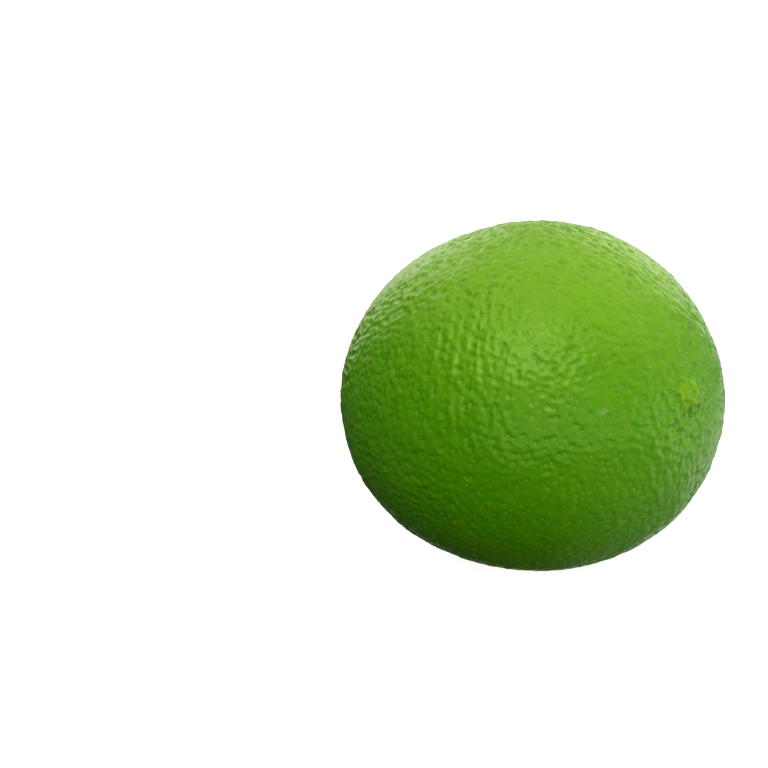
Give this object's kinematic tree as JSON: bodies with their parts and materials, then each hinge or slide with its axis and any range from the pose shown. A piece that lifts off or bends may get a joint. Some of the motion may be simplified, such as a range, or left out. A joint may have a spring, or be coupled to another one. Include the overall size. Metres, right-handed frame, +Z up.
{
  "type": "lime",
  "caption": "Whole green lime lying on its side on a small flat spot, with a low blossom nipple and a stem dimple.",
  "frame": {"origin": "middle of the flat spot that the lime rests on", "axes": "+X along the fruit's length, from the stem end to the blossom end; +Z up; +Y to the side"},
  "size_m": [0.0594, 0.0502, 0.0514],
  "materials": {
    "peel": "satin"
  },
  "bodies": {
    "root": {"lime": "peel"}
  },
  "joints": []
}
